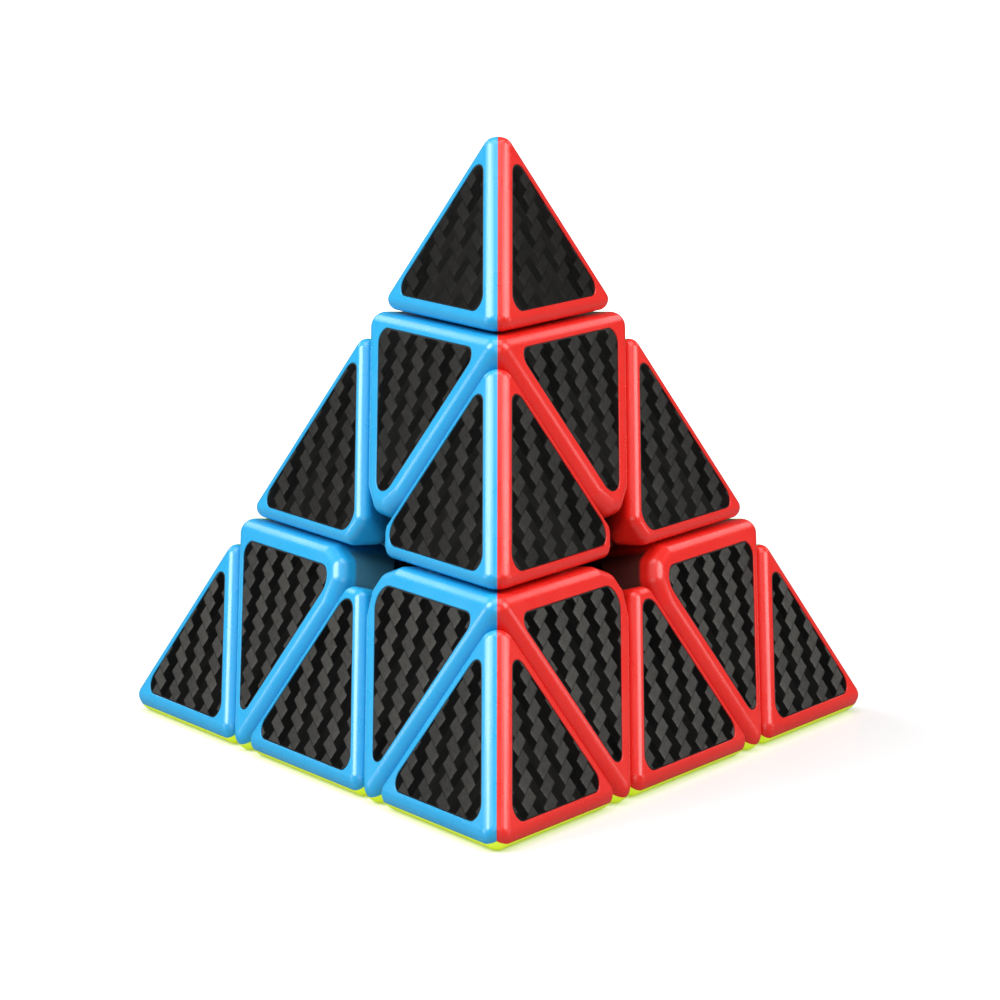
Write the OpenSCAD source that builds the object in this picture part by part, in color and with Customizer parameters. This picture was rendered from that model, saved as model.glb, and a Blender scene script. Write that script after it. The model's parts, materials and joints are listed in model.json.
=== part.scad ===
// Pyramid twisty puzzle: a regular tetrahedron of four tips, four axials and six edge
// pieces around a screwed core. The origin is the point where the four turning axes
// meet, +Z is the axis of the top tip and the puzzle stands on the opposite face.

/* [Body] */
// Edge of the tetrahedron, measured between its sharp corners
edge_len = 104.4; // [95:0.1:112]
// Radius of the rounding along the outer edges
round_r = 2.2; // [1:0.1:2.6]
// Gap between neighbouring pieces
gap = 0.4; // [0.3:0.05:0.6]
// Radius of the opening where six pieces meet in the middle of a face
opening_r = 4.8; // [3:0.1:5.2]
// Wall of the tip caps
cap_wall = 2.4; // [1.5:0.1:2.8]
// How far the cut below a tip lies beyond a third of the edge, towards the corner
tip_shift = 0.6; // [0:0.1:1]
// How far the cut below a layer lies beyond two thirds of the edge, towards the centre
layer_shift = 0.3; // [0:0.1:0.5]

/* [Stickers] */
// Thickness of a sticker
sticker_t = 0.3; // [0.2:0.05:0.4]
// How far a sticker lies below the face around it
sticker_inset = 0.05; // [0.02:0.01:0.1]
// Play between a sticker and its recess
sticker_play = 0.05; // [0.03:0.01:0.1]
// Radius of a sticker's corners
sticker_r = 1.6; // [0.8:0.1:2.6]
// Rim of a tip's sticker towards the axial, measured from the third of the edge
tip_cut_rim = 3.3; // [2.8:0.1:4]
// Rim of a tip's sticker along the outer edges
tip_rim = 3.3; // [3:0.1:4]
// Rim of an edge piece's sticker along the outer edge
edge_rim = 3.2; // [3:0.1:4]
// Rim of an edge piece's sticker along the layer cuts
edge_cut_rim = 2; // [1.9:0.1:3]
// Rim of an axial's sticker towards the tip
axial_rim = 1.3; // [1.2:0.1:2.6]
// Rim of an axial's sticker along the layer cuts
axial_cut_rim = 3; // [2:0.1:3.4]

/* [Mechanism] */
// Radius of the core ball
core_r = 9.7; // [9.2:0.1:9.8]
// Radius of the sphere that the feet of the edge pieces turn in
foot_r = 14; // [13.6:0.1:14.2]
// Distance from the centre to the planes that bound the feet
foot_cut = 4.9; // [4.85:0.05:5.2]
// Radius of the cylinder that the heel of a foot runs on
heel_r = 7.7; // [7.6:0.1:8]
// Outer radius of the hub's flange
flange_r = 7.4; // [7:0.1:7.4]
// Outer radius of the hub's tube
hub_r = 5; // [4.8:0.1:5.4]
// Bore of the hub's tube
pocket_r = 3.3; // [3.1:0.1:3.6]
// Running clearance of the screws and stems in their bores
run_gap = 0.08; // [0.04:0.01:0.1]
// Radius of the axis screws
screw_r = 1.5; // [1.2:0.1:1.6]

/* [Hidden] */
$fn = 48;
big = 200;
sides = ["top", "front", "right", "left"];
// Colour of the face opposite each corner
hues = ["yellow", "green", "blue", "red"];
shades = ["#d9f533", "#33c24a", "#2ba8f0", "#f0322c"];
sticker_shade = "#1e1e1d";
inner_shade = "#2a2a2c";
steel_shade = "#b9bcc0";

corner_tilt = acos(-1 / 3);
corner_turn = [0, -90, 30, 150];
function spin_of(i) = [0, i == 0 ? 0 : corner_tilt, corner_turn[i]];
// Unit vector from the centre to corner i; its negative is the normal of the face opposite
function dir(i) =
    let (tilt = spin_of(i).y)
    [sin(tilt) * cos(corner_turn[i]), sin(tilt) * sin(corner_turn[i]), cos(tilt)];
function others(used) = [for (i = [0:3]) if (len(search(i, used)) == 0) i];
function unit(v) = v / norm(v);

face_d = edge_len * sqrt(2 / 3) / 4;
corner_d = 3 * face_d;
// A shift along a face moves the cutting plane by this fraction of it along its axis
shift_slope = sin(corner_tilt);
layer_cut = face_d / 3 - layer_shift * shift_slope;
tip_cut = 5 * face_d / 3 + tip_shift * shift_slope;
// The plane that just touches the rounding of an outer edge, and of a corner
edge_plane_d = face_d * sqrt(3) - round_r * (sqrt(3) - 1);
corner_plane_d = corner_d - 2 * round_r;
// Every facet is an equilateral triangle with a third of the edge as its side
facet_r = edge_len / 3 / (2 * sqrt(3));
clear = gap / 2;
skin_gap = 0.15;

post_top = 10.35;
hub_floor = 10.6;
flange_top = 11.9;
spring_seat = 12.4;
washer_z = 20.4;
washer_t = 0.6;
seat_gap = 0.05;
head_h = 3;
head_r = 2.8;
stem_end = 26;
base_t = 2.5;

// ---- Half-spaces and convex pieces -------------------------------------------------

// All points p with n * p <= d
module half(n, d) {
    u = unit(n);
    rotate([0, acos(u.z), atan2(u.y, u.x)])
        translate([-big / 2, -big / 2, d - big])
            cube(big);
}

// Convex piece bounded by planes, each [normal, distance]
module bounded(planes) {
    intersection_for(p = planes)
        half(p[0], p[1]);
}

module along(i) {
    rotate(spin_of(i))
        children();
}

// Ball at the centre, turned so that its poles and its seam lie clear of the direction v
module ball(r, v) {
    u = unit(v);
    rotate([0, 90 - acos(u.z), atan2(u.y, u.x) + 180])
        rotate([45, 0, 0])
            sphere(r = r);
}

// The sector of the puzzle that belongs to face z, cut by mitres against the faces in list
function mitres(z, list) = [for (y = list) [dir(z) - dir(y), 0]];
function outer_face(z) = [-dir(z), face_d];
function beyond(i, d) = [-dir(i), -d];
function within(i, d) = [dir(i), d];
// Plane along the outer edge between corners x and y
function edge_plane(x, y) = [unit(dir(x) + dir(y)), edge_plane_d];

// ---- Facets and stickers -----------------------------------------------------------

corner_at = [for (i = [0:3]) corner_d * dir(i)];
function face_mid(z) = -face_d * dir(z);

// Corners of the facet's outline inside its rims: the pointed end lies along +X
function facet_corners(rim, cut_rim) =
    let (base = facet_r - rim, side = facet_r - cut_rim, y = (side + base / 2) / sin(60))
    [[2 * side, 0], [-base, y], [-base, -y]];

function facet_outline(rim, cut_rim, r) =
    let (centres = facet_corners(rim + r, cut_rim + r), steps = 8)
    [for (k = [0:2]) for (s = [0:steps])
        let (a = 120 * (k - 0.5 + s / steps))
        centres[k] + r * [cos(a), sin(a)]];

// Puts a flat thing on face z, centred on a facet with its pointed end towards a point
module on_facet(z, centre, towards) {
    n = -dir(z);
    u = unit(towards - centre);
    w = cross(n, u);
    multmatrix([
        [u.x, w.x, n.x, centre.x],
        [u.y, w.y, n.y, centre.y],
        [u.z, w.z, n.z, centre.z],
        [0, 0, 0, 1]
    ])
        children();
}

module patch(rim, cut_rim, extra, z0, height) {
    translate([0, 0, z0])
        linear_extrude(height)
            polygon(facet_outline(rim - extra, cut_rim - extra, sticker_r + extra));
}

module sticker(rim, cut_rim) {
    patch(rim, cut_rim, 0, -sticker_t - sticker_inset, sticker_t);
}

module recess(rim, cut_rim) {
    patch(rim, cut_rim, sticker_play, -sticker_t - sticker_inset, 1);
}

module on_tip(x, z) {
    rest = others([x, z]);
    on_facet(z, (7 * corner_at[x] + corner_at[rest[0]] + corner_at[rest[1]]) / 9, corner_at[x])
        children();
}

module on_axial(x, z) {
    rest = others([x, z]);
    centre = (5 * corner_at[x] + 2 * corner_at[rest[0]] + 2 * corner_at[rest[1]]) / 9;
    on_facet(z, centre, face_mid(z))
        children();
}

module on_edge(x, y, z) {
    rest = others([x, y, z]);
    on_facet(z, (4 * corner_at[x] + 4 * corner_at[y] + corner_at[rest[0]]) / 9, face_mid(z))
        children();
}

// Opening in the middle of face z, down to the feet
module face_opening(z) {
    along(z)
        translate([0, 0, -face_d - 1])
            cylinder(r = opening_r, h = face_d + 1 - foot_r - skin_gap);
}

// ---- Tips --------------------------------------------------------------------------

module tip_cap(x, z) {
    rest = others([x, z]);
    planes = concat(
        [
            beyond(x, tip_cut + clear),
            within(x, corner_plane_d),
            outer_face(z),
            [dir(z), cap_wall - face_d]
        ],
        mitres(z, rest),
        [for (y = rest) edge_plane(x, y)]
    );
    color(shades[z])
        difference() {
            bounded(planes);
            on_tip(x, z)
                recess(tip_cut_rim, tip_rim);
        }
}

module tip_base(x) {
    planes = concat(
        [beyond(x, tip_cut + clear), within(x, tip_cut + clear + base_t)],
        [for (z = others([x])) [-dir(z), face_d - cap_wall]]
    );
    color(inner_shade)
        union() {
            bounded(planes);
            along(x)
                translate([0, 0, stem_end])
                    cylinder(r = pocket_r - run_gap, h = tip_cut + clear + base_t / 2 - stem_end);
        }
}

module tip_stickers(x) {
    color(sticker_shade)
        for (z = others([x]))
            on_tip(x, z)
                sticker(tip_cut_rim, tip_rim);
}

// ---- Axials ------------------------------------------------------------------------

module axial_shell(x, z) {
    rest = others([x, z]);
    planes = concat(
        [beyond(x, layer_cut + clear), within(x, tip_cut - clear), outer_face(z)],
        [for (y = rest) within(y, layer_cut - clear)],
        mitres(z, rest),
        [for (y = rest) edge_plane(x, y)]
    );
    color(shades[z])
        difference() {
            bounded(planes);
            ball(foot_r + skin_gap, dir(x) - dir(z));
            along(x)
                cylinder(r = hub_r, h = corner_d);
            face_opening(z);
            on_axial(x, z)
                recess(axial_rim, axial_cut_rim);
        }
}

module axial_hub(x) {
    bore_r = screw_r + run_gap;
    color(inner_shade)
        along(x)
            rotate_extrude()
                polygon([
                    [bore_r, hub_floor],
                    [flange_r, hub_floor],
                    [flange_r, flange_top],
                    [hub_r, flange_top],
                    [hub_r, tip_cut - clear],
                    [pocket_r, tip_cut - clear],
                    [pocket_r, spring_seat],
                    [bore_r, spring_seat]
                ]);
}

module axial_stickers(x) {
    color(sticker_shade)
        for (z = others([x]))
            on_axial(x, z)
                sticker(axial_rim, axial_cut_rim);
}

// ---- Edge pieces -------------------------------------------------------------------

// Foot that hooks under the shells of the axials x and y
module foot(x, y) {
    middle = dir(x) + dir(y);
    difference() {
        intersection() {
            ball(foot_r - skin_gap, middle);
            half(-dir(x), -foot_cut - skin_gap);
            half(-dir(y), -foot_cut - skin_gap);
        }
        ball(core_r + 2 * skin_gap, middle);
        along(x)
            cylinder(r = heel_r, h = foot_r);
        along(y)
            cylinder(r = heel_r, h = foot_r);
    }
}

module edge_half(x, y, z) {
    far = others([x, y, z])[0];
    planes = [
        beyond(x, layer_cut + clear),
        beyond(y, layer_cut + clear),
        outer_face(z),
        edge_plane(x, y)
    ];
    color(shades[z])
        intersection() {
            union() {
                difference() {
                    bounded(planes);
                    face_opening(z);
                    on_edge(x, y, z)
                        recess(edge_rim, edge_cut_rim);
                }
                foot(x, y);
            }
            half(dir(z) - dir(far), 0);
        }
}

module edge_stickers(x, y) {
    color(sticker_shade)
        for (z = others([x, y]))
            on_edge(x, y, z)
                sticker(edge_rim, edge_cut_rim);
}

// ---- Core and its screws -----------------------------------------------------------

module core() {
    post_r = 4;
    post_root = 8;
    bore_end = 4;
    color(inner_shade)
        difference() {
            union() {
                rotate([corner_tilt / 2, 0, 0])
                    rotate([0, 0, 45])
                        sphere(r = core_r);
                for (i = [0:3])
                    along(i)
                        translate([0, 0, post_root])
                            cylinder(r = post_r, h = post_top - post_root);
            }
            for (i = [0:3])
                along(i)
                    translate([0, 0, bore_end])
                        cylinder(r = screw_r + run_gap, h = post_top);
        }
}

// Screw with a cross recess in its head
module axis_screw() {
    head_z = washer_z + washer_t + seat_gap;
    shank_end = 4.5;
    slot_w = 0.7;
    slot_len = 3;
    slot_depth = 1.4;
    difference() {
        union() {
            translate([0, 0, shank_end])
                cylinder(r = screw_r, h = head_z - shank_end);
            translate([0, 0, head_z])
                cylinder(r = head_r, h = head_h);
        }
        for (turn = [0, 90])
            rotate([0, 0, turn])
                translate([-slot_len / 2, -slot_w / 2, head_z + head_h - slot_depth])
                    cube([slot_len, slot_w, slot_depth + 1]);
    }
}

module washer() {
    translate([0, 0, washer_z])
        difference() {
            cylinder(r = head_r + 0.2, h = washer_t);
            translate([0, 0, -1])
                cylinder(r = screw_r + run_gap, h = washer_t + 2);
        }
}

// Compression spring: a round wire swept along a helix
module spring() {
    wire_r = 0.35;
    mean_r = 2.4;
    turns = 4;
    ring_steps = 10;
    wire_sides = 8;
    rings = turns * ring_steps;
    low = spring_seat + wire_r + seat_gap;
    rise = washer_z - wire_r - seat_gap - low;
    function wire_point(k, s) =
        let (a = 360 * k / ring_steps, b = 360 * s / wire_sides, r = mean_r + wire_r * cos(b))
        [r * cos(a), r * sin(a), low + rise * k / rings + wire_r * sin(b)];
    points = [for (k = [0:rings]) for (s = [0:wire_sides - 1]) wire_point(k, s)];
    tube = [for (k = [0:rings - 1]) for (s = [0:wire_sides - 1])
        let (a = k * wire_sides + s, b = k * wire_sides + (s + 1) % wire_sides)
        [a, b, b + wire_sides, a + wire_sides]];
    first_end = [for (s = [wire_sides - 1:-1:0]) s];
    last_end = [for (s = [0:wire_sides - 1]) rings * wire_sides + s];
    polyhedron(points, concat(tube, [first_end, last_end]));
}

module axis_hardware() {
    color(steel_shade)
        for (i = [0:3])
            along(i) {
                axis_screw();
                washer();
                spring();
            }
}

// ---- Nodes -------------------------------------------------------------------------

pairs = [for (x = [0:2]) for (y = [x + 1:3]) [x, y]];
function tip_name(x) = str("tip_", sides[x]);
function axial_name(x) = str("axial_", sides[x]);
function edge_name(p) = str("edge_", sides[p[0]], "_", sides[p[1]]);

core();
axis_hardware();
for (x = [0:3]) {
    tip_base(x);
    tip_stickers(x);
    axial_hub(x);
    axial_stickers(x);
    for (z = others([x])) {
        tip_cap(x, z);
        axial_shell(x, z);
    }
}
for (p = pairs) {
    edge_stickers(p[0], p[1]);
    for (z = others(p))
        edge_half(p[0], p[1], z);
}
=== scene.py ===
"""Pyramid twisty puzzle: glossy moulded tips, axials and edge pieces with carbon-weave stickers."""

import json
import math
from itertools import combinations

import bmesh
import bpy
import numpy as np
from mathutils import Matrix, Vector


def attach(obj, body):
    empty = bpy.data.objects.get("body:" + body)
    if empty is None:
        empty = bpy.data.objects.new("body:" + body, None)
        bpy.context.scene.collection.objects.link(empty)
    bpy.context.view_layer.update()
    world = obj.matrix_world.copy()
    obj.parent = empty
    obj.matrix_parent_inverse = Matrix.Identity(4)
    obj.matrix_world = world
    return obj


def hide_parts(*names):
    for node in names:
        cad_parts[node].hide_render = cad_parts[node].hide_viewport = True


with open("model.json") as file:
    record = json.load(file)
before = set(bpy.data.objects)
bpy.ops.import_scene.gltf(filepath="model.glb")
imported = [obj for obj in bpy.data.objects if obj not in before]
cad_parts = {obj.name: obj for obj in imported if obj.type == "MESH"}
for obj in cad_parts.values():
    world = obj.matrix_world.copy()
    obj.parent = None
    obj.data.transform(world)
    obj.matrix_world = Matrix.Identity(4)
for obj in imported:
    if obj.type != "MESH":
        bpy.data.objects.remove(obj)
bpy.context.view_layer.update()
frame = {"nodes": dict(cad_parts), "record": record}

MM = 0.001

# ---- The tetrahedron, from the face that it rests on --------------------------------
SIDES = ["top", "front", "right", "left"]
HUES = ["yellow", "green", "blue", "red"]      # colour of the face opposite each corner
FACE_D = -frame["record"]["mounts"][0]["pos_m"][2]    # from the centre to each face
EDGE = FACE_D * 4 / math.sqrt(2 / 3)           # length of the sharp edges
CORNER_D = 3 * FACE_D                          # from the centre to each sharp corner
# The cuts lie a little off the thirds of the edge; a shift along a face moves its plane by SLOPE
SLOPE = math.sqrt(8) / 3
LAYER_SHIFT, TIP_SHIFT = 0.3 * MM, 0.6 * MM
LAYER_CUT = FACE_D / 3 - LAYER_SHIFT * SLOPE
TIP_CUT = 5 * FACE_D / 3 + TIP_SHIFT * SLOPE
# Inner radius of a facet, which is a triangle whose side is a third of the edge
FACET_R = EDGE / 3 / (2 * math.sqrt(3))
CLEAR = 0.2 * MM                               # half of the gap between two pieces

# ---- Moulded pieces -----------------------------------------------------------------
OUTER_R = 2.2 * MM                             # rounding along the puzzle's outer edges
CUT_R = 1.4 * MM                               # rounding along the cuts of tips and edge pieces
AXIAL_R = 2.0 * MM                             # rounding of the axials
ARC_STEP = 8.0                                 # degrees between two points of a rounding
PATCH_RINGS = 5                                # rings of faces on a rounded corner
OUTER_PLANES = 6                               # steps from one face to the next in a rounding
# How far the noses round the middle of a face stop short of it, and how much they lean
AXIAL_NOSE = 5.6 * MM
EDGE_NOSE = 4.5 * MM
NOSE_DRAFT = 0.1
AXIAL_NOSE_R = 1.8 * MM
EDGE_NOSE_R = 4.2 * MM
NOSE_STEPS = 3                                 # planes from the nose to either side
CAP_WALL = 2.4 * MM                            # depth of a tip's cap behind its face
MITRE_BEVEL = 0.07 * MM                        # along the seam between two colours
# The edge pieces' feet lie between two spheres and hook under the axials
FOOT_R = 14.0 * MM
FOOT_IN_R = 10.0 * MM
FOOT_CUT = 5.05 * MM                           # they start this far out along two corners' axes
NECK_R = 17.0 * MM                             # the neck joins a foot to its piece within this
HEEL_R = 7.7 * MM                              # room for the hubs' flanges
SKIN_GAP = 0.15 * MM                           # half of the gap between feet and axials
HUB_R = 5.05 * MM                              # bore of an axial round its hub
# The mitres between a piece's colours are bevelled only this far out, where they show
AXIAL_BEVEL_FROM = 1.3 * FOOT_R
EDGE_BEVEL_FROM = 1.1 * FOOT_R
CREASE = math.radians(28)                      # edges sharper than this are shaded sharp
BEVEL_CREASE = math.radians(15)                # edges flatter than this aren't bevelled
ROUND_SEGMENTS, BALL_RINGS = 64, 40            # of the balls and rods inside

# ---- Tolerances, in metres where they are lengths -----------------------------------
NO_MEETING = 1e-6                              # determinant of planes that share no point
NO_ANGLE = 1e-6
INSIDE = 1e-9
SAME_POINT = 1e-7
ON_CUT = 2e-7
ON_PLANE = 1e-6
ON_FACE = 1e-5
NORMAL_OFF = 1e-4                              # how far two alike normals' product is from 1

# ---- Stickers -----------------------------------------------------------------------
STICKER_T = 0.3 * MM                           # thickness
STICKER_INSET = 0.05 * MM                      # how far its top lies below the rim
STICKER_PLAY = 0.06 * MM                       # gap between it and its recess
RIM_CHAMFER = 0.07 * MM
FILM_EDGE = 0.12 * MM                          # pressed-down border of the film
FILM_DROP = 0.05 * MM
OUTLINE_STEPS = 10                             # segments in each rounded corner
# Rim from a facet's sides to its sticker: at the base, and along the two other sides
RIMS = {"tip": (3.3 * MM, 3.3 * MM), "axial": (1.3 * MM, 3.0 * MM),
        "edge": (3.2 * MM, 2.0 * MM)}
# Rounding of a sticker's corners: the one opposite the base, and the two at the base
STICKER_R = {"tip": (1.7 * MM, 1.6 * MM), "axial": (2.3 * MM, 1.5 * MM),
             "edge": (2.2 * MM, 1.6 * MM)}


def unit(v):
    v = np.asarray(v, float)
    return v / np.linalg.norm(v)


def corner_dirs():
    tilt = math.acos(-1 / 3)
    rows = [np.array([0.0, 0.0, 1.0])]
    for turn in (-90, 30, 150):
        a = math.radians(turn)
        rows.append(np.array([math.sin(tilt) * math.cos(a), math.sin(tilt) * math.sin(a),
                              math.cos(tilt)]))
    return rows


DIRS = corner_dirs()
CORNERS = [CORNER_D * v for v in DIRS]
MIDS = [-FACE_D * v for v in DIRS]


def others(*used):
    return [i for i in range(4) if i not in used]


# ---- Rounded convex solids ----------------------------------------------------------
def slerp(a, b, t):
    ang = math.acos(max(-1.0, min(1.0, float(a @ b))))
    if ang < NO_ANGLE:
        return a
    return (math.sin((1 - t) * ang) * a + math.sin(t * ang) * b) / math.sin(ang)


def solid_corners(planes):
    """Corners of the solid n * p <= d, each with the planes that meet there."""
    found = []
    for trio in combinations(range(len(planes)), 3):
        m = np.array([planes[k][0] for k in trio])
        if abs(np.linalg.det(m)) < NO_MEETING:
            continue
        p = np.linalg.solve(m, [planes[k][1] for k in trio])
        if any(n @ p > d + INSIDE for n, d in planes):
            continue
        for q, faces in found:
            if np.linalg.norm(q - p) < SAME_POINT:
                faces.update(trio)
                break
        else:
            found.append((p, set(trio)))
    return found


def around(normal, dirs):
    """Order of the directions around a normal, counter-clockwise."""
    # Any start does that is well off the normal
    start = [0.3, 0.5, 0.8] if abs(normal[0]) > 0.5 else [0.9, 0.2, 0.1]
    e1 = unit(np.cross(normal, start))
    e2 = np.cross(normal, e1)
    return sorted(range(len(dirs)), key=lambda k: math.atan2(dirs[k] @ e2, dirs[k] @ e1))


def rounded_solid(planes, r):
    """Convex solid bounded by planes (n, d), with every edge and corner rounded to r."""
    bm = bmesh.new()
    inset = [(n, d - r) for n, d in planes]
    corners = solid_corners(inset)
    flats, arcs = {}, {}
    for k, (p, faces) in enumerate(corners):
        faces = sorted(faces)
        normals = [planes[f][0] for f in faces]
        mean = unit(sum(normals))
        ring = [faces[j] for j in around(mean, normals)]
        for f in ring:
            flats[k, f] = bm.verts.new(p + r * planes[f][0])
        border, ways = [], []
        for a, b in zip(ring, ring[1:] + ring[:1]):
            na, nb = planes[a][0], planes[b][0]
            angle = math.degrees(math.acos(float(na @ nb)))
            steps = 2 * max(1, math.ceil(angle / ARC_STEP / 2))
            way = [slerp(na, nb, s / steps) for s in range(steps + 1)]
            arc = [flats[k, a]] + [bm.verts.new(p + r * w) for w in way[1:-1]] + [flats[k, b]]
            arcs.setdefault(frozenset((a, b)), []).append(arc if a < b else arc[::-1])
            border += arc[:-1]
            ways += way[:-1]
        outer = border
        for ring_k in range(PATCH_RINGS - 1, 0, -1):
            t = ring_k / PATCH_RINGS
            inner = [bm.verts.new(p + r * slerp(mean, w, t)) for w in ways]
            for j in range(len(outer)):
                m = (j + 1) % len(outer)
                bm.faces.new((outer[j], outer[m], inner[m], inner[j]))
            outer = inner
        tip = bm.verts.new(p + r * mean)
        for j in range(len(outer)):
            bm.faces.new((outer[j], outer[(j + 1) % len(outer)], tip))
    for one, two in arcs.values():
        for s in range(len(one) - 1):
            bm.faces.new((one[s], one[s + 1], two[s + 1], two[s]))
    for f, (n, d) in enumerate(planes):
        mine = [k for k in range(len(corners)) if (k, f) in flats]
        if len(mine) < 3:
            continue
        centre = sum(corners[k][0] for k in mine) / len(mine)
        order = around(n, [corners[k][0] - centre for k in mine])
        bm.faces.new([flats[mine[j], f] for j in order])
    bmesh.ops.recalc_face_normals(bm, faces=bm.faces[:])
    return bm


def keep(bm, n, d):
    """Keeps the side n * p <= d and closes the cut."""
    n = unit(n)
    geom = bm.verts[:] + bm.edges[:] + bm.faces[:]
    cut = bmesh.ops.bisect_plane(bm, geom=geom, dist=ON_CUT, plane_co=Vector(n * d),
                                 plane_no=Vector(n), clear_outer=True)["geom_cut"]
    edges = [e for e in cut if isinstance(e, bmesh.types.BMEdge) and len(e.link_faces) == 1]
    if edges:
        bmesh.ops.edgeloop_fill(bm, edges=edges)
    bmesh.ops.recalc_face_normals(bm, faces=bm.faces[:])


def soften(bm, planes, width, beyond=0.0):
    """Bevels the sharp edges where a cut along one of the planes meets the outside."""
    picked = []
    for e in bm.edges:
        if len(e.link_faces) != 2:
            continue
        mid = (e.verts[0].co + e.verts[1].co) / 2
        if mid.length < beyond or e.calc_face_angle() < BEVEL_CREASE:
            continue
        for n, d in planes:
            n = Vector(unit(n))
            on = [abs(n.dot(v.co) - d) < ON_PLANE for v in e.verts]
            along = [abs(abs(f.normal.dot(n)) - 1) < NORMAL_OFF for f in e.link_faces]
            if all(on) and sum(along) == 1:
                picked.append(e)
                break
    if picked:
        bmesh.ops.bevel(bm, geom=picked, offset=width, segments=2, profile=0.5,
                        affect="EDGES", clamp_overlap=True)


# ---- Facets -------------------------------------------------------------------------
def facet_frame(kind, x, z, y=None):
    """Centre of a facet on face z, and its in-plane axes; the first points to its tip."""
    if kind == "edge":
        w = others(x, y, z)[0]
        centre, towards = (4 * CORNERS[x] + 4 * CORNERS[y] + CORNERS[w]) / 9, MIDS[z]
    else:
        a, b = others(x, z)
        if kind == "tip":
            centre, towards = (7 * CORNERS[x] + CORNERS[a] + CORNERS[b]) / 9, CORNERS[x]
        else:
            centre, towards = (5 * CORNERS[x] + 2 * CORNERS[a] + 2 * CORNERS[b]) / 9, MIDS[z]
    u = unit(towards - centre)
    return centre, u, np.cross(-DIRS[z], u)


def facet_outline(kind, extra):
    """Rounded triangle in the facet's plane, grown by extra, as (u, w) pairs."""
    base_rim, side_rim = RIMS[kind]
    tip_r, base_r = STICKER_R[kind]
    base = FACET_R - base_rim - base_r
    y = (FACET_R - side_rim - base_r + base / 2) / math.sin(math.radians(60))
    centres = [(2 * (FACET_R - side_rim - tip_r), 0, tip_r), (-base, y, base_r),
               (-base, -y, base_r)]
    out = []
    for k, (cx, cy, r) in enumerate(centres):
        for s in range(OUTLINE_STEPS + 1):
            a = math.radians(120 * (k - 0.5 + s / OUTLINE_STEPS))
            out.append((cx + (r + extra) * math.cos(a), cy + (r + extra) * math.sin(a)))
    return out


def sink_recess(bm, kind, x, z, y=None):
    """Replaces the flat of face z by a rim with the sticker's shallow recess in it."""
    n = -DIRS[z]
    centre, u, w = facet_frame(kind, x, z, y)
    flat = max((f for f in bm.faces if f.normal.dot(Vector(n)) > 1 - NORMAL_OFF
                and abs(f.calc_center_median().dot(Vector(n)) - FACE_D) < ON_FACE),
               key=lambda f: f.calc_area())
    border = list(flat.edges)
    loops = []
    for extra, depth in ((STICKER_PLAY + RIM_CHAMFER, 0.0), (STICKER_PLAY, RIM_CHAMFER),
                         (STICKER_PLAY, STICKER_T + STICKER_INSET)):
        loops.append([bm.verts.new(centre + a * u + b * w - depth * n)
                      for a, b in facet_outline(kind, extra)])
    bmesh.ops.delete(bm, geom=[flat], context="FACES_ONLY")
    count = len(loops[0])
    hole = [bm.edges.new((loops[0][j], loops[0][(j + 1) % count])) for j in range(count)]
    bmesh.ops.triangle_fill(bm, use_beauty=True, use_dissolve=False, edges=border + hole,
                            normal=Vector(n))
    for top, low in zip(loops, loops[1:]):
        for j in range(count):
            m = (j + 1) % count
            bm.faces.new((top[j], top[m], low[m], low[j]))
    bm.faces.new(loops[-1])
    bmesh.ops.recalc_face_normals(bm, faces=bm.faces[:])


# ---- Objects ------------------------------------------------------------------------
def mesh_object(name, bm):
    me = bpy.data.meshes.new(name)
    bm.to_mesh(me)
    bm.free()
    ob = bpy.data.objects.new(name, me)
    bpy.context.scene.collection.objects.link(ob)
    return ob


def boolean(bm, other, how):
    """Exact boolean of two bmeshes."""
    a, b = mesh_object("bool_a", bm), mesh_object("bool_b", other)
    mod = a.modifiers.new("bool", "BOOLEAN")
    mod.operation, mod.solver, mod.object = how, "EXACT", b
    dg = bpy.context.evaluated_depsgraph_get()
    out = bmesh.new()
    out.from_mesh(a.evaluated_get(dg).to_mesh())
    for ob in (a, b):
        me = ob.data
        bpy.data.objects.remove(ob)
        bpy.data.meshes.remove(me)
    return out


def turned(bm, v):
    """Turns the mesh so that its Z axis points along v."""
    rot = Vector(unit(v)).to_track_quat("Z", "Y").to_matrix().to_4x4()
    bmesh.ops.transform(bm, matrix=rot, verts=bm.verts[:])
    return bm


def ball(r):
    bm = bmesh.new()
    bmesh.ops.create_uvsphere(bm, u_segments=ROUND_SEGMENTS, v_segments=BALL_RINGS, radius=r)
    return bm


def rod(r, length, v):
    """Cylinder from the middle of the puzzle along v."""
    bm = bmesh.new()
    bmesh.ops.create_cone(bm, cap_ends=True, segments=ROUND_SEGMENTS, radius1=r, radius2=r,
                          depth=length, matrix=Matrix.Translation((0, 0, length / 2)))
    return turned(bm, v)


def carried(bm, x, y):
    """Copy of a solid built at corners 0 and 1, turned to corners x and y."""
    def axes(a, b):
        return np.column_stack([DIRS[a], DIRS[b], np.cross(DIRS[a], DIRS[b])])

    copy = bm.copy()
    turn = Matrix((axes(x, y) @ np.linalg.inv(axes(0, 1))).tolist()).to_4x4()
    bmesh.ops.transform(copy, matrix=turn, verts=copy.verts[:])
    return copy


def flat_normals(me, planes):
    """Gives the vertices on a flat its exact normal, so that it doesn't shade like a fillet."""
    normals = np.array([n for n, d in planes])
    dists = np.array([d for n, d in planes])
    points = np.empty(len(me.vertices) * 3)
    me.vertices.foreach_get("co", points)
    on_plane = np.abs(points.reshape(-1, 3) @ normals.T - dists) < ON_PLANE
    custom = []
    for poly in me.polygons:
        close = normals @ np.array(poly.normal) > math.cos(CREASE)
        for v in poly.vertices:
            hit = np.flatnonzero(on_plane[v] & close)
            custom.append(normals[hit[0]] if len(hit) else (0, 0, 0))
    me.normals_split_custom_set(custom)


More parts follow.
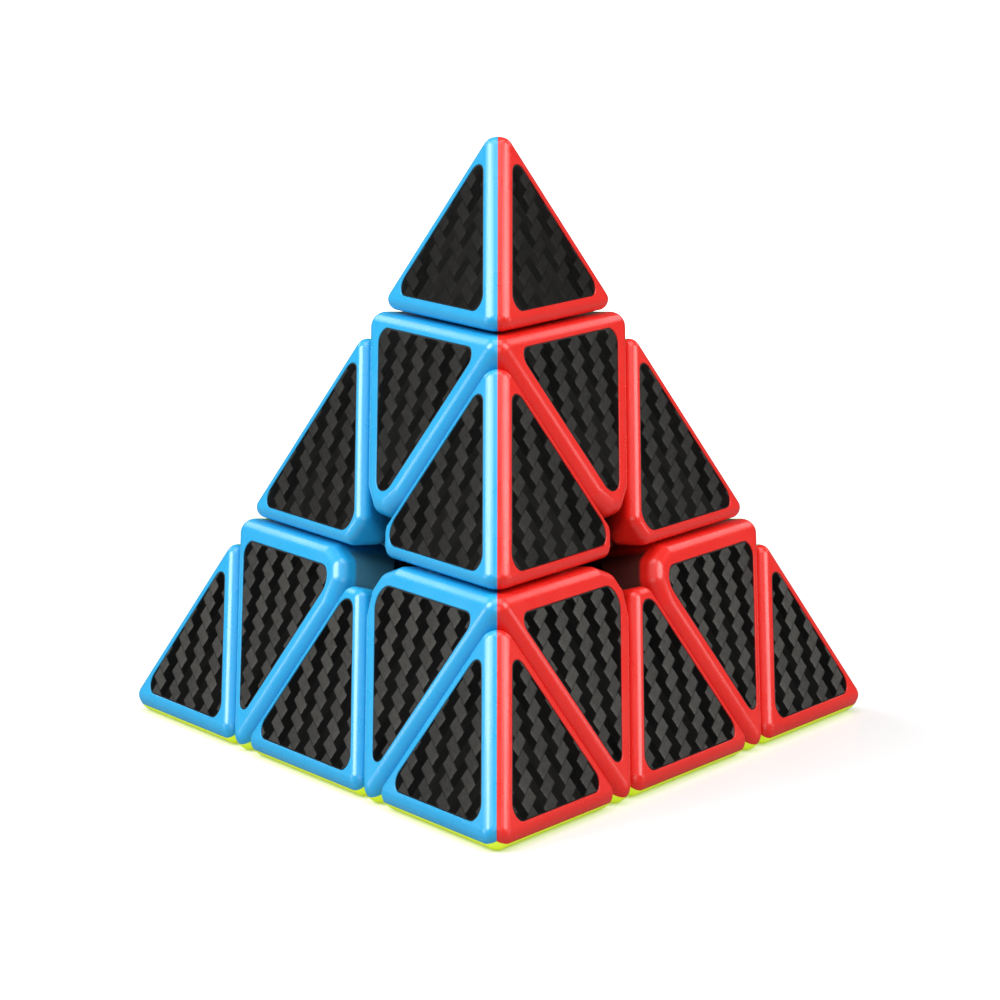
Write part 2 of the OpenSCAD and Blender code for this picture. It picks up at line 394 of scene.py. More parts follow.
def finish_piece(name, bm, body, materials, nodes, planes=()):
    """Smooth-shaded piece that rides on a body and stands for CAD nodes."""
    for f in bm.faces:
        f.smooth = True
    for e in bm.edges:
        if len(e.link_faces) == 2 and e.calc_face_angle() > CREASE:
            e.smooth = False
    ob = mesh_object(name, bm)
    for m in materials:
        ob.data.materials.append(m)
    if planes:
        flat_normals(ob.data, planes)
    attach(ob, body)
    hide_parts(*nodes)
    return ob


# ---- Materials ----------------------------------------------------------------------
# Spans of noise values, which crowd round 0.5, that are stretched to a whole range
NARROW, MIDDLE, WIDE = (0.3, 0.7), (0.25, 0.75), (0.2, 0.8)


class Nodes:
    """Small helper that adds nodes to a material and links them."""

    def __init__(self, name):
        self.mat = bpy.data.materials.new(name)
        self.mat.use_nodes = True
        self.tree = self.mat.node_tree
        self.tree.nodes.clear()
        out = self.tree.nodes.new("ShaderNodeOutputMaterial")
        self.bsdf = self.tree.nodes.new("ShaderNodeBsdfPrincipled")
        self.tree.links.new(self.bsdf.outputs[0], out.inputs["Surface"])

    def link(self, value, socket):
        if isinstance(value, bpy.types.NodeSocket):
            self.tree.links.new(value, socket)
        elif value is not None:
            socket.default_value = value

    def math(self, op, a, b=None):
        n = self.tree.nodes.new("ShaderNodeMath")
        n.operation = op
        for value, socket in zip((a, b), n.inputs):
            self.link(value, socket)
        return n.outputs[0]

    def ramp(self, value, lo, hi, to_lo=0.0, to_hi=1.0, smooth=False):
        n = self.tree.nodes.new("ShaderNodeMapRange")
        n.interpolation_type = "SMOOTHSTEP" if smooth else "LINEAR"
        for v, socket in zip((value, lo, hi, to_lo, to_hi), n.inputs):
            self.link(v, socket)
        return n.outputs[0]

    def mix(self, factor, a, b):
        n = self.tree.nodes.new("ShaderNodeMix")
        n.data_type = "RGBA"
        self.link(factor, n.inputs[0])
        self.link(a, n.inputs[6])
        self.link(b, n.inputs[7])
        return n.outputs[2]

    def vector(self, x, y, z=0.0):
        n = self.tree.nodes.new("ShaderNodeCombineXYZ")
        for v, socket in zip((x, y, z), n.inputs):
            self.link(v, socket)
        return n.outputs[0]

    def noise(self, vector, scale, detail=2.0, rough=0.5):
        n = self.tree.nodes.new("ShaderNodeTexNoise")
        self.link(vector, n.inputs["Vector"])
        n.inputs["Scale"].default_value = scale
        n.inputs["Detail"].default_value = detail
        n.inputs["Roughness"].default_value = rough
        return n.outputs["Fac"]

    def white(self, vector):
        n = self.tree.nodes.new("ShaderNodeTexWhiteNoise")
        n.noise_dimensions = "3D"
        self.link(vector, n.inputs["Vector"])
        return n.outputs["Value"]

    def position(self):
        """Object coordinates in millimetres."""
        co = self.tree.nodes.new("ShaderNodeTexCoord")
        return self.vector_math("SCALE", co.outputs["Object"], None, 1 / MM)

    def vector_math(self, op, a, b=None, scale=None):
        n = self.tree.nodes.new("ShaderNodeVectorMath")
        n.operation = op
        self.link(a, n.inputs[0])
        self.link(b, n.inputs[1])
        if scale is not None:
            self.link(scale, n.inputs["Scale"])
        return n.outputs["Value" if op in ("DOT_PRODUCT", "LENGTH") else "Vector"]

    def split(self, vector):
        n = self.tree.nodes.new("ShaderNodeSeparateXYZ")
        self.tree.links.new(vector, n.inputs[0])
        return n.outputs

    def bump(self, height, strength, distance):
        n = self.tree.nodes.new("ShaderNodeBump")
        n.inputs["Strength"].default_value = strength
        n.inputs["Distance"].default_value = distance
        self.tree.links.new(height, n.inputs["Height"])
        self.tree.links.new(n.outputs[0], self.bsdf.inputs["Normal"])

    def set(self, **sockets):
        """Links values to the shader's sockets, named with _ for spaces."""
        for name, value in sockets.items():
            self.link(value, self.bsdf.inputs[name.replace("_", " ")])

    def fix(self, **sockets):
        """Sets constants on the shader's sockets, named with _ for spaces."""
        for name, value in sockets.items():
            self.bsdf.inputs[name.replace("_", " ")].default_value = value


# Moulded plastic: its marks in cycles of noise per millimetre, and how they tint and dull it
FLOW_SCALE, FLOW_RANGE = 0.06, (0.3, 0.75)
HAZE_SCALE, HAZE_RANGE, HAZE_TINT = 0.25, (0.4, 0.9), 0.18
GLOSS_RANGE, MORE_GLOSS, LESS_GLOSS = WIDE, 0.04, 0.05
RIPPLE_SCALE, RIPPLE, RIPPLE_DEPTH = 0.5, 0.015, 0.02 * MM
HOLE_SHADE_R = (9.0, 7.0)                         # millimetres from a hole's axis, from no painted shade to full
OPENING_DULL = 0.25                            # added to the roughness of its walls


def moulded(name, colour, deep, pale, roughness, shine, hole_shade=None, glow=0.0):
    """Glossy injection-moulded plastic with faint flow marks and handling haze.

    shine is the level of its specular reflection. hole_shade is (face, depth where the painted
    shade starts, depth where it is full, shade colour): below the rounding, the walls of the hole
    in the middle of a face have the shade that falls there painted on as a dark colour, and are
    dull. glow is painted light that the plastic gives off, as though fluorescent."""
    m = Nodes(name)
    p = m.position()
    flow = m.noise(p, FLOW_SCALE, detail=3.0, rough=0.55)
    haze = m.noise(p, HAZE_SCALE, detail=1.5)
    tint = m.mix(m.ramp(flow, *FLOW_RANGE, smooth=True), (*colour, 1), (*deep, 1))
    tint = m.mix(m.ramp(haze, *HAZE_RANGE, 0.0, HAZE_TINT, True), tint, (*pale, 1))
    rough = m.ramp(haze, *GLOSS_RANGE, roughness - MORE_GLOSS, roughness + LESS_GLOSS, True)
    # Painted shade: the hole's walls turn to the dark colour with depth and nearness to its axis
    if hole_shade:
        z, start, end, dark = hole_shade
        height = m.vector_math("DOT_PRODUCT", p, DIRS[z])
        axis = m.vector_math("SCALE", DIRS[z], None, height)
        radius = m.vector_math("LENGTH", m.vector_math("SUBTRACT", p, axis))
        depth = m.math("ADD", height, FACE_D / MM)
        hole_shade_mask = m.math("MULTIPLY", m.ramp(depth, start, end, smooth=True),
                        m.ramp(radius, *HOLE_SHADE_R, smooth=True))
        tint = m.mix(hole_shade_mask, tint, (*dark, 1))
        rough = m.math("ADD", rough, m.math("MULTIPLY", hole_shade_mask, OPENING_DULL))
    m.set(Base_Color=tint, Roughness=rough)
    m.fix(IOR=1.52, Specular_IOR_Level=shine, Coat_Weight=0.3, Coat_Roughness=0.18,
          Emission_Color=(*colour, 1), Emission_Strength=glow)
    m.bump(m.noise(p, RIPPLE_SCALE, detail=1.0), RIPPLE, RIPPLE_DEPTH)
    return m.mat


# Yarns of the weave in millimetres: one step along each, in a face's horizontal and upward axes
YARN_X = np.array([1.38, -0.78])
YARN_Y = np.array([-0.88, -1.52])
REPEAT, OVER = 4.0, 2.0                        # a yarn runs over two others, then under two
STRAY, STRAY_SCALE = 0.12, 1.6                 # how far yarns stray, in millimetres
FIBRES_ALONG, FIBRES_ACROSS = 1.2, 11.0        # cycles of noise per yarn step
GRAIN_SCALE = 7.0
# Tones of the pale yarn: spread between floats, fibres, a painted highlight at one end of each
# float, grain, and edges
PALE_SPREAD, PALE_FIBRES = (0.82, 1.12), 0.28
FLOAT_GLINT_FROM, FLOAT_GLINT_GRAIN, FLOAT_GLINT = 0.7, (0.35, 0.7), (-0.05, 0.75)
PALE_GRAIN, PALE_EDGE, PALE_EDGE_WIDTH = 0.15, 0.6, 0.4
# Tones of the dark yarn: spread between floats, fibres, and the darkest that it gets
DARK_SPREAD, DARK_FIBRES, DARKEST = (0.3, 1.8), 0.6, 0.1
YARN_GREEN, YARN_BLUE = 0.975, 0.91            # of its red, so that the grey is a warm one
YARN_ROUGH, PALE_ROUGHER = (0.34, 0.46), 0.08
FLOAT_END, FIBRE_LIFT = 0.4, 0.25              # exponent of a float's ends, height of fibres
WEAVE_BUMP, WEAVE_DEPTH = 0.35, 0.03 * MM


def carbon(name, light, dark, mirrored):
    """Two-by-two twill under a clear film, with the tones of the two yarns."""
    m = Nodes(name)
    p = m.position()
    if mirrored:
        p = m.vector_math("MULTIPLY", p, (-1, 1, 1))
    x, y, _ = m.split(p)
    stray_x, stray_y = m.noise(p, STRAY_SCALE), m.noise(m.vector(y, x, 7.3), STRAY_SCALE)
    x = m.math("ADD", x, m.ramp(stray_x, 0, 1, -STRAY, STRAY))
    y = m.math("ADD", y, m.ramp(stray_y, 0, 1, -STRAY, STRAY))
    inv = np.linalg.inv(np.array([YARN_X, YARN_Y]).T)
    s = m.math("ADD", m.math("MULTIPLY", x, inv[0][0]), m.math("MULTIPLY", y, inv[0][1]))
    t = m.math("ADD", m.math("MULTIPLY", x, inv[1][0]), m.math("MULTIPLY", y, inv[1][1]))
    i, j = m.math("FLOOR", s), m.math("FLOOR", t)
    # Of the four places in a repeat, 0 and 1 show the pale yarn
    phase = m.math("FLOORED_MODULO", m.math("SUBTRACT", i, j), REPEAT)
    pale = m.math("LESS_THAN", phase, OVER - 0.5)
    not_pale = m.math("SUBTRACT", 1.0, pale)
    # Place along and across the float that shows here, each 0 to 1, and the float's own number
    run_a, run_b = m.math("SUBTRACT", s, j), m.math("SUBTRACT", t, i)
    along_a = m.math("DIVIDE", m.math("FLOORED_MODULO", run_a, REPEAT), OVER)
    shifted = m.math("SUBTRACT", m.math("FLOORED_MODULO", run_b, REPEAT), 1.0)
    along_b = m.math("DIVIDE", shifted, OVER)
    across_a, across_b = m.math("FRACT", t), m.math("FRACT", s)
    id_a = m.vector(m.math("FLOOR", m.math("DIVIDE", run_a, REPEAT)), j, 1.0)
    id_b = m.vector(i, m.math("FLOOR", m.math("DIVIDE", run_b, REPEAT)), 2.0)

    def fibres(per_s, per_t, seed):
        place = m.vector(m.math("MULTIPLY", s, per_s), m.math("MULTIPLY", t, per_t), seed)
        return m.noise(place, 1.0, detail=3.0, rough=0.65)

    def crown(v):
        return m.math("SINE", m.math("MULTIPLY", v, math.pi))

    def lift(across, along):
        """Height of a float, which bulges across and dives under at its ends."""
        along = m.math("MINIMUM", m.math("MAXIMUM", along, 0.0), 1.0)
        ends = m.math("POWER", m.math("MAXIMUM", crown(along), 0.0), FLOAT_END)
        return m.math("MULTIPLY", crown(across), ends)

    fibre_a = fibres(FIBRES_ALONG, FIBRES_ACROSS, 0.0)
    fibre_b = fibres(FIBRES_ACROSS, FIBRES_ALONG, 5.0)
    grain = m.noise(p, GRAIN_SCALE, rough=0.7)
    tone_a = m.math("ADD", m.ramp(m.white(id_a), 0, 1, *PALE_SPREAD),
                    m.ramp(fibre_a, *MIDDLE, -PALE_FIBRES, PALE_FIBRES))
    # Painted highlight: the pale yarn grows lighter, unevenly with the grain, towards one end of
    # each float
    float_glint = m.math("MULTIPLY", m.ramp(along_a, FLOAT_GLINT_FROM, 1.0), m.ramp(grain, *FLOAT_GLINT_GRAIN, *FLOAT_GLINT))
    tone_a = m.math("ADD", tone_a, float_glint)
    tone_a = m.math("ADD", tone_a, m.ramp(grain, *NARROW, -PALE_GRAIN, PALE_GRAIN))
    tone_a = m.math("MULTIPLY", tone_a,
                    m.ramp(crown(across_a), 0.0, PALE_EDGE_WIDTH, PALE_EDGE, 1.0))
    tone_b = m.math("ADD", m.ramp(m.white(id_b), 0, 1, *DARK_SPREAD),
                    m.ramp(fibre_b, *MIDDLE, -DARK_FIBRES, DARK_FIBRES))
    tone_b = m.math("MAXIMUM", tone_b, DARKEST)
    value = m.math("ADD", m.math("MULTIPLY", m.math("MULTIPLY", tone_a, light), pale),
                   m.math("MULTIPLY", m.math("MULTIPLY", tone_b, dark), not_pale))
    colour = m.tree.nodes.new("ShaderNodeCombineColor")
    m.link(value, colour.inputs[0])
    m.link(m.math("MULTIPLY", value, YARN_GREEN), colour.inputs[1])
    m.link(m.math("MULTIPLY", value, YARN_BLUE), colour.inputs[2])
    rough = m.math("ADD", m.math("MULTIPLY", pale, PALE_ROUGHER),
                   m.ramp(fibre_a, *WIDE, *YARN_ROUGH))
    m.set(Base_Color=colour.outputs[0], Roughness=rough)
    m.fix(IOR=1.45, Specular_IOR_Level=0.03)
    height = m.math("ADD", m.math("MULTIPLY", lift(across_a, along_a), pale),
                    m.math("MULTIPLY", lift(across_b, along_b), not_pale))
    height = m.math("ADD", height, m.math("MULTIPLY", fibre_a, FIBRE_LIFT))
    m.bump(height, WEAVE_BUMP, WEAVE_DEPTH)
    return m.mat


def grey(value):
    return (value, value, value, 1)


def film_edge():
    """Pressed-down black border of the stickers' film."""
    m = Nodes("film_edge")
    grain = m.noise(m.position(), 5.0)
    m.set(Base_Color=m.mix(grain, grey(0.002), grey(0.005)),
          Roughness=m.ramp(grain, *NARROW, 0.45, 0.6))
    return m.mat


def inner_plastic():
    """Matt black engineering plastic of the core, hubs and tip bases."""
    m = Nodes("inner_plastic")
    p = m.position()
    grain, haze = m.noise(p, 2.5, detail=4.0, rough=0.6), m.noise(p, 0.25, detail=3.0)
    m.set(Base_Color=m.mix(haze, (0.010, 0.010, 0.011, 1), (0.026, 0.026, 0.029, 1)),
          Roughness=m.ramp(grain, *NARROW, 0.42, 0.62))
    m.bump(grain, 0.3, 0.03 * MM)
    return m.mat


def zinc_steel():
    """Zinc-plated steel with fine drawing marks."""
    m = Nodes("zinc_steel")
    p = m.position()
    x, y, z = m.split(p)
    place = m.vector(x, y, m.math("MULTIPLY", z, 9.0))
    marks = m.noise(place, 1.2, detail=4.0, rough=0.7)
    m.set(Base_Color=m.mix(marks, (0.46, 0.47, 0.49, 1), (0.66, 0.67, 0.70, 1)),
          Roughness=m.ramp(marks, *MIDDLE, 0.22, 0.42))
    m.fix(Metallic=1.0)
    m.bump(marks, 0.3, 0.02 * MM)
    return m.mat


# Per colour: the plastic, its darker and paler flow marks, and the dark colour of the painted
# shade on the walls and feet of the hole, where shade falls
SHADES = {
    "blue": ((0.017, 0.410, 0.780), (0.014, 0.385, 0.750), (0.036, 0.440, 0.800),
             (0.045, 0.200, 0.290)),
    "red": ((0.890, 0.021, 0.013), (0.860, 0.016, 0.010), (0.900, 0.034, 0.026),
            (0.085, 0.011, 0.007)),
    "yellow": ((0.620, 0.790, 0.022), (0.580, 0.750, 0.016), (0.660, 0.810, 0.050),
               (0.110, 0.140, 0.012)),
    "green": ((0.020, 0.400, 0.060), (0.015, 0.360, 0.050), (0.040, 0.460, 0.090),
              (0.010, 0.100, 0.022)),
}
GLOSSY, DULL = 0.29, 0.45                      # roughness outside, and of the feet
SHINE, RED_SHINE = 0.75, 0.58                  # the red's highlights are weaker
LIME_PAINTED_GLOW = 0.48                               # painted glow that brightens the bottom's yellow-green
# Depths in millimetres where the painted shade on the hole's walls starts and where it is full
PIECE_SHADE_DEPTHS, SHELL_SHADE_DEPTHS = (3.0, 6.5), (2.3, 2.9)
PLASTIC, SHELL_PLASTIC, FOOT_SHADE_PLASTIC = {}, {}, {}
for k, hue in enumerate(HUES):
    body, deep, pale, dark = SHADES[hue]
    look = (body, deep, pale, GLOSSY, RED_SHINE if hue == "red" else SHINE)
    glow = LIME_PAINTED_GLOW if hue == "yellow" else 0.0
    PLASTIC[hue] = moulded(f"{hue}_moulded", *look, (k, *PIECE_SHADE_DEPTHS, dark), glow)
    SHELL_PLASTIC[hue] = moulded(f"{hue}_shell", *look, (k, *SHELL_SHADE_DEPTHS, dark), glow)
    # Painted shade: the feet deep in the hole are the dark shade colour all over
    FOOT_SHADE_PLASTIC[hue] = moulded(f"{hue}_foot", dark, dark, dark, DULL, SHINE)
# Tones of the two yarns, in lit and shaded copies of one weave: painted light lowers its
# contrast more and more towards the top, where the light catches the weave less
WEAVE_LIT_TONES = {"low": (0.052, 0.0026), "front_tip": (0.040, 0.0040), "upper": (0.027, 0.0050),
         "top_tip": (0.0165, 0.0082)}
TIP_LIT_LEVELS = ["top_tip", "front_tip", "low", "low"]    # by corner
# Painted light: the mirrored weave of the red face stands on the dimmer side, and its tones are
# painted brighter to make up for that
MIRRORED_LIGHT_GAIN = {"low": 1.3, "front_tip": 1.3, "upper": 1.3, "top_tip": 1.15}
CARBON = {}
for level, (light, dark) in WEAVE_LIT_TONES.items():
    gain = MIRRORED_LIGHT_GAIN[level]
    CARBON[level, False] = carbon(f"carbon_{level}", light, dark, False)
    CARBON[level, True] = carbon(f"carbon_{level}_mirrored", light * gain, dark * gain, True)
FILM_EDGE_MAT = film_edge()
INNER = inner_plastic()
STEEL = zinc_steel()


# ---- Puzzle pieces ------------------------------------------------------------------
def face_plane(z):
    return (-DIRS[z], FACE_D)


def beyond_plane(i, d):
    return (-DIRS[i], -d)


def within_plane(i, d):
    return (DIRS[i], d)


def mitres(z, rest):
    return [(unit(DIRS[z] - DIRS[y]), 0.0) for y in rest]


def outer_rounding(z, w):
    """Planes that touch the rounding of the outer edge between faces z and w."""
    a, b = -DIRS[z], -DIRS[w]
    axis = (FACE_D - OUTER_R) * (a + b) / (1 + float(a @ b))
    normals = [slerp(a, b, k / OUTER_PLANES) for k in range(1, OUTER_PLANES)]
    return [(n, float(n @ axis) + OUTER_R) for n in normals]


def corner_rounding(x):
    """Planes that touch the rounding of the tetrahedron's corner x."""
    centre = DIRS[x] * (CORNER_D - 3 * OUTER_R)
    normals = [DIRS[x]]
    for z, w in combinations(others(x), 2):
        normals.append(slerp(DIRS[x], unit(-DIRS[z] - DIRS[w]), 0.5))
    return [(n, float(n @ centre) + OUTER_R) for n in normals]


def nose_planes(kind, x, z, y, cut, retreat, r):
    """Planes that blunt a piece's nose in the middle of face z and round it to r in plan.

    cut is how far the cuts on both sides of the nose lie outside that middle."""
    _, u, w = facet_frame(kind, x, z, y)
    out = []
    for k in range(-NOSE_STEPS + 1, NOSE_STEPS):
        a = math.radians(60 * k / NOSE_STEPS)
        aside = np.sign(k) * (retreat + 2 * cut - r) / math.sqrt(3)
        centre = MIDS[z] - (retreat + r) * u + aside * w
        way = math.cos(a) * u + math.sin(a) * w
        n = unit(way - NOSE_DRAFT * DIRS[z])
        out.append((n, float(n @ (centre + r * way))))
    return out


def weave_axes(z):
    """A face's horizontal and upward axes and its normal."""
    n = -DIRS[z]
    up = unit(np.array([0, 0, 1.0]) - n[2] * n) if z != 0 else np.array([0, 1.0, 0])
    return np.cross(up, n), up, n


def sticker(kind, x, z, y, name, body, node, level):
    centre, u, w = facet_frame(kind, x, z, y)
    right, up, n = weave_axes(z)
    to_world = Matrix(((right[0], up[0], n[0], centre[0]), (right[1], up[1], n[1], centre[1]),
                       (right[2], up[2], n[2], centre[2]), (0, 0, 0, 1)))
    bm = bmesh.new()
    loops = []
    for extra, z_at in ((0.0, -STICKER_INSET - STICKER_T), (0.0, -STICKER_INSET - FILM_DROP),
                        (-FILM_EDGE, -STICKER_INSET)):
        loops.append([bm.verts.new(((a * u + b * w) @ right, (a * u + b * w) @ up, z_at))
                      for a, b in facet_outline(kind, extra)])
    count = len(loops[0])
    for low, top in zip(loops, loops[1:]):
        for j in range(count):
            m = (j + 1) % count
            bm.faces.new((low[j], low[m], top[m], top[j])).material_index = 1
    bm.faces.new(loops[0]).material_index = 1
    bm.faces.new(loops[-1])
    bmesh.ops.recalc_face_normals(bm, faces=bm.faces[:])
    ob = finish_piece(name, bm, body, [CARBON[level, z == 3], FILM_EDGE_MAT],
                      [node])
    ob.matrix_world = to_world


def tip(x):
    body = f"tip_{SIDES[x]}"
    flats = [beyond_plane(x, TIP_CUT + CLEAR)] + [face_plane(z) for z in others(x)]
    planes = flats + corner_rounding(x)
    for z, w in combinations(others(x), 2):
        planes += outer_rounding(z, w)
    level = TIP_LIT_LEVELS[x]
    for z in others(x):
        rest = others(x, z)
        bm = rounded_solid(planes, CUT_R)
        cuts = mitres(z, rest)
        for n, d in cuts + [(DIRS[z], CAP_WALL - FACE_D)]:
            keep(bm, n, d)
        soften(bm, cuts, MITRE_BEVEL)
        sink_recess(bm, "tip", x, z)
        cap = f"{body}_cap_{HUES[z]}"
        finish_piece(f"{cap}_skin", bm, body, [PLASTIC[HUES[z]]], [cap],
                     flats)
        sticker("tip", x, z, None, f"{body}_sticker_{HUES[z]}", body, f"{body}_stickers", level)


def axial_flats(x):
    flats = [beyond_plane(x, LAYER_CUT + CLEAR), within_plane(x, TIP_CUT - CLEAR)]
    flats += [within_plane(y, LAYER_CUT - CLEAR) for y in others(x)]
    return flats + [face_plane(z) for z in others(x)]


def axial_solid():
    """The axial at corner 0, hollowed for the feet and for its hub."""
    planes = axial_flats(0)
    cut = (LAYER_CUT - CLEAR - FACE_D / 3) / SLOPE
    for z in others(0):
        planes += nose_planes("axial", 0, z, None, cut, AXIAL_NOSE, AXIAL_NOSE_R)
    whole = rounded_solid(planes, AXIAL_R)
    whole = boolean(whole, ball(FOOT_R + SKIN_GAP), "DIFFERENCE")
    return boolean(whole, rod(HUB_R, CORNER_D, DIRS[0]), "DIFFERENCE")


def axial(x, solid):
    body = f"axial_{SIDES[x]}"
    level = "upper" if x == 0 else "low"
    for z in others(x):
        bm = carried(solid, x, others(x)[0])
        cuts = mitres(z, others(x, z))
        for n, d in cuts:
            keep(bm, n, d)
        soften(bm, cuts, MITRE_BEVEL, AXIAL_BEVEL_FROM)
        sink_recess(bm, "axial", x, z)
        shell = f"{body}_shell_{HUES[z]}"
        finish_piece(f"{shell}_skin", bm, body, [SHELL_PLASTIC[HUES[z]]],
                     [shell], axial_flats(x))
        sticker("axial", x, z, None, f"{body}_sticker_{HUES[z]}", body, f"{body}_stickers", level)


def edge_flats(x, y):
    flats = [beyond_plane(i, LAYER_CUT + CLEAR) for i in (x, y)]
    return flats + [face_plane(z) for z in others(x, y)]


def edge_solid():
    """The edge piece at corners 0 and 1, with its foot; the foot's faces have material 1."""
    planes = edge_flats(0, 1) + outer_rounding(*others(0, 1))
    cut = (FACE_D / 3 - LAYER_CUT - CLEAR) / SLOPE
    for z in others(0, 1):
        planes += nose_planes("edge", 0, z, 1, cut, EDGE_NOSE, EDGE_NOSE_R)
    whole = rounded_solid(planes, CUT_R)
    foot = turned(ball(FOOT_R - SKIN_GAP), DIRS[0] + DIRS[1])
    neck = turned(ball(NECK_R), DIRS[0] + DIRS[1])
    for i in (0, 1):
        keep(foot, -DIRS[i], -FOOT_CUT)
        keep(neck, -DIRS[i], -LAYER_CUT - CLEAR)
    foot = boolean(foot, neck, "UNION")
    foot = boolean(foot, turned(ball(FOOT_IN_R), DIRS[0] + DIRS[1]), "DIFFERENCE")
    for i in (0, 1):
        foot = boolean(foot, rod(HEEL_R, FOOT_R + MM, DIRS[i]), "DIFFERENCE")
    whole = boolean(whole, foot, "UNION")
    for f in whole.faces:
        f.material_index = int(all(v.co.length < NECK_R + SKIN_GAP for v in f.verts))
    return whole


def edge_piece(x, y, solid):
    body = f"edge_{SIDES[x]}_{SIDES[y]}"
    level = "upper" if x == 0 else "low"
    for z in others(x, y):
        bm = carried(solid, x, y)
        cuts = mitres(z, others(x, y, z))
        keep(bm, *cuts[0])
        soften(bm, cuts, MITRE_BEVEL, EDGE_BEVEL_FROM)
        sink_recess(bm, "edge", x, z, y)
        half = f"{body}_half_{HUES[z]}"
        finish_piece(f"{half}_skin", bm, body,
                     [PLASTIC[HUES[z]], FOOT_SHADE_PLASTIC[HUES[z]]], [half], edge_flats(x, y))
        sticker("edge", x, z, y, f"{body}_sticker_{HUES[z]}", body, f"{body}_stickers", level)


# All axials are alike, and so are all edge pieces: one solid of each is built and then turned
AXIAL_SOLID, EDGE_SOLID = axial_solid(), edge_solid()
for k in range(4):
    tip(k)
    axial(k, AXIAL_SOLID)
for k, m in combinations(range(4), 2):
    edge_piece(k, m, EDGE_SOLID)
AXIAL_SOLID.free()
EDGE_SOLID.free()

# The CAD pieces that no skin stands for: black mouldings and the steel hardware
for name, node in frame["nodes"].items():
    if node.hide_render:
        continue
    if name == "core" or name.endswith(("_hub", "_base")):
        finish = INNER
    else:
        finish = STEEL
    node.data.materials.clear()
    node.data.materials.append(finish)

# ---- Floor, light and camera --------------------------------------------------------
FLOOR_HALF = 6.0
FLOOR_GAP = 0.02 * MM
# The floor's grey as the camera sees it, and as the puzzle's underside and gloss see it
FLOOR_SEEN, FLOOR_DIFFUSE, FLOOR_GLOSS = (0.84, 0.87), 0.45, 0.14
# It gives off light of its own, more and more from near to far, in millimetres from the middle
FLOOR_NEAR, FLOOR_FAR = 80, 500
GLOW_NEAR, GLOW_FAR = 0.12, 0.9


def floor():
    """Wide pale floor with a faint gloss."""
    bm = bmesh.new()
    bmesh.ops.create_grid(bm, x_segments=8, y_segments=8, size=FLOOR_HALF)
    bmesh.ops.translate(bm, vec=(0, 0, -FACE_D - FLOOR_GAP), verts=bm.verts[:])
    ob = mesh_object("floor", bm)
    m = Nodes("floor_white")
    soft = m.noise(m.position(), 0.01)
    path = m.tree.nodes.new("ShaderNodeLightPath")
    pale = m.mix(soft, grey(FLOOR_SEEN[0]), grey(FLOOR_SEEN[1]))
    pale = m.mix(path.outputs["Is Diffuse Ray"], pale, grey(FLOOR_DIFFUSE))
    pale = m.mix(path.outputs["Is Glossy Ray"], pale, grey(FLOOR_GLOSS))
    m.set(Base_Color=pale, Roughness=m.ramp(soft, *NARROW, 0.28, 0.34))
    m.fix(Specular_IOR_Level=0.2, Emission_Color=grey(1))
    away = m.vector_math("LENGTH", m.position())
    glow = m.ramp(away, FLOOR_NEAR, FLOOR_FAR, GLOW_NEAR, GLOW_FAR, True)
    m.set(Emission_Strength=m.math("MULTIPLY", glow, path.outputs["Is Camera Ray"]))
    ob.data.materials.append(m.mat)


def way_to(azimuth, elevation):
    """Direction in which azimuth 0 is in front of the puzzle and 90 to its right, in degrees."""
    a, e = math.radians(azimuth), math.radians(elevation)
    return Vector((math.sin(a) * math.cos(e), -math.cos(a) * math.cos(e), math.sin(e)))


def softbox(name, azimuth, elevation, distance, size, power):
    """Area light that shines on the puzzle."""
    data = bpy.data.lights.new(name, "AREA")
    data.shape, data.size, data.size_y = "RECTANGLE", size[0], size[1]
    data.energy = power
    ob = bpy.data.objects.new(name, data)
    way = way_to(azimuth, elevation)
    ob.location = way * distance
    ob.rotation_mode = "QUATERNION"
    ob.rotation_quaternion = way.to_track_quat("Z", "Y")
    bpy.context.scene.collection.objects.link(ob)


floor()
# Azimuth, elevation, distance, width and height, power. The keys light the faces and the front
# edge, the rims draw the highlights on the top roundings and the strips those on slanted ones.
SOFTBOXES = {
    "key_left": (-78, 42, 0.9, (0.50, 0.50), 6.0),
    "key_right": (78, 42, 0.9, (0.50, 0.50), 3.5),
    "rim_left": (-140, 28, 0.9, (0.38, 0.22), 0.55),
    "rim_right": (140, 28, 0.9, (0.38, 0.22), 0.36),
    "strip_left": (-95, 7.5, 0.9, (0.40, 0.13), 0.65),
    "strip_right": (95, 7.5, 0.9, (0.40, 0.13), 0.38),
    "overhead": (0, 88, 1.0, (0.85, 0.85), 5.0),
    "front_fill": (0, 30, 1.3, (0.8, 0.8), 2.5),
}
for name, setting in SOFTBOXES.items():
    softbox(name, *setting)

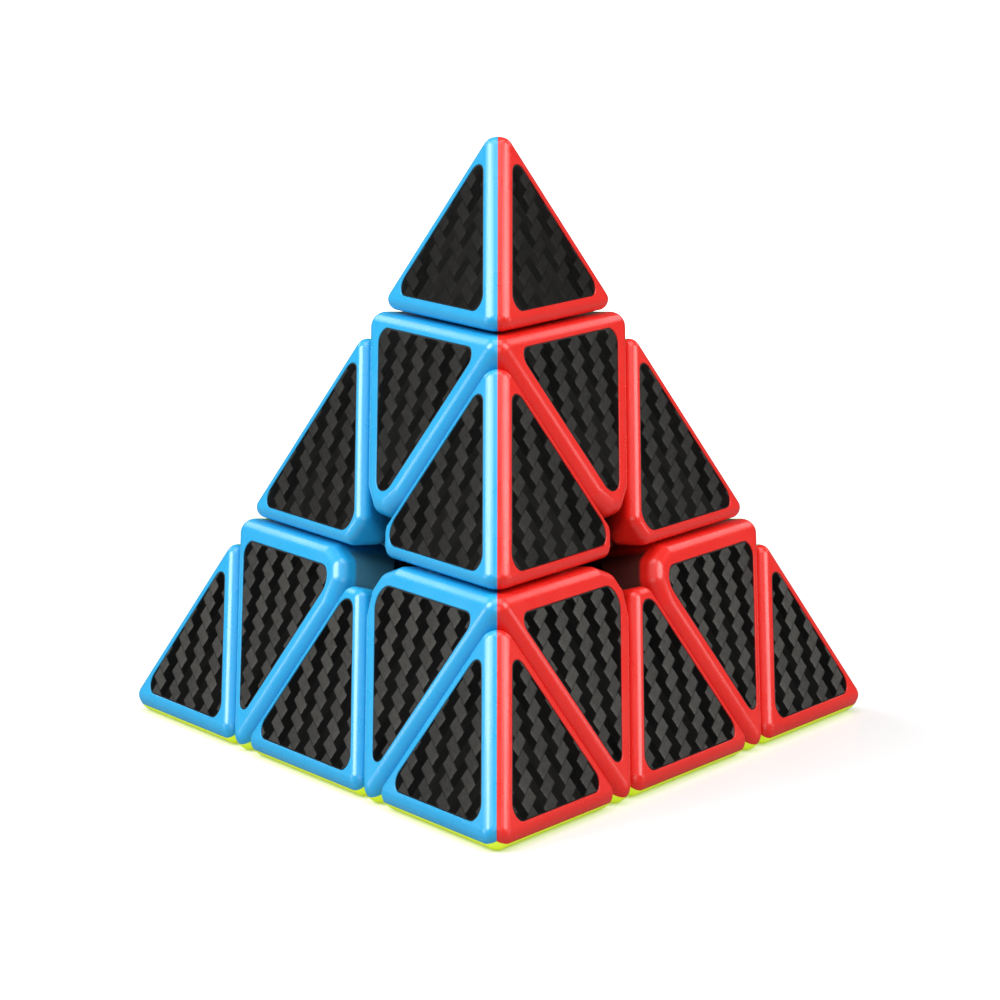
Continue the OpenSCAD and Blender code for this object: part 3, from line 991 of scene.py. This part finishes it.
# The white backdrop as the camera sees it, as the puzzle is lit by it, and as its gloss shows it
BACKDROP_SEEN, BACKDROP_LIGHT, BACKDROP_GLOSS = 1.0, 0.42, 0.08


def backdrop():
    """White surroundings that light the puzzle evenly and show only faintly in its gloss."""
    world = bpy.data.worlds.new("studio")
    bpy.context.scene.world = world
    world.use_nodes = True
    tree = world.node_tree
    path = tree.nodes.new("ShaderNodeLightPath")
    gloss, seen = tree.nodes.new("ShaderNodeMix"), tree.nodes.new("ShaderNodeMix")
    gloss.inputs[2].default_value, gloss.inputs[3].default_value = BACKDROP_LIGHT, BACKDROP_GLOSS
    seen.inputs[3].default_value = BACKDROP_SEEN
    background = tree.nodes["Background"]
    background.inputs[0].default_value = grey(1)
    tree.links.new(path.outputs["Is Glossy Ray"], gloss.inputs[0])
    tree.links.new(path.outputs["Is Camera Ray"], seen.inputs[0])
    tree.links.new(gloss.outputs[0], seen.inputs[2])
    tree.links.new(seen.outputs[0], background.inputs[1])


backdrop()

# The camera looks from the photograph's azimuth and elevation. Its distance, and the offsets of
# its aim from the middle of the puzzle's height, are in units of the sharp edge.
CAM_AZ, CAM_EL, CAM_DIST = 0.138, 9.40, 6.0
AIM_RIGHT, AIM_UP = 0.0025, -0.0854
LENS, SENSOR = 173.844, 36.0                   # millimetres
CLIP_NEAR, CLIP_FAR = 0.01, 20


def camera():
    """Camera at the photograph's viewing angle."""
    back = way_to(CAM_AZ, CAM_EL)
    right = Vector((0, 0, 1)).cross(back).normalized()
    height = EDGE * math.sqrt(2 / 3)
    aim = Vector((0, 0, height / 2 - FACE_D))
    aim += (AIM_RIGHT * right + AIM_UP * back.cross(right)) * EDGE
    data = bpy.data.cameras.new("camera")
    data.lens, data.sensor_width = LENS, SENSOR
    data.clip_start, data.clip_end = CLIP_NEAR, CLIP_FAR
    ob = bpy.data.objects.new("camera", data)
    ob.location = aim + back * CAM_DIST * EDGE
    ob.rotation_mode = "QUATERNION"
    ob.rotation_quaternion = back.to_track_quat("Z", "Y")
    bpy.context.scene.collection.objects.link(ob)
    bpy.context.scene.camera = ob


camera()
bpy.context.scene.view_settings.view_transform = "Standard"
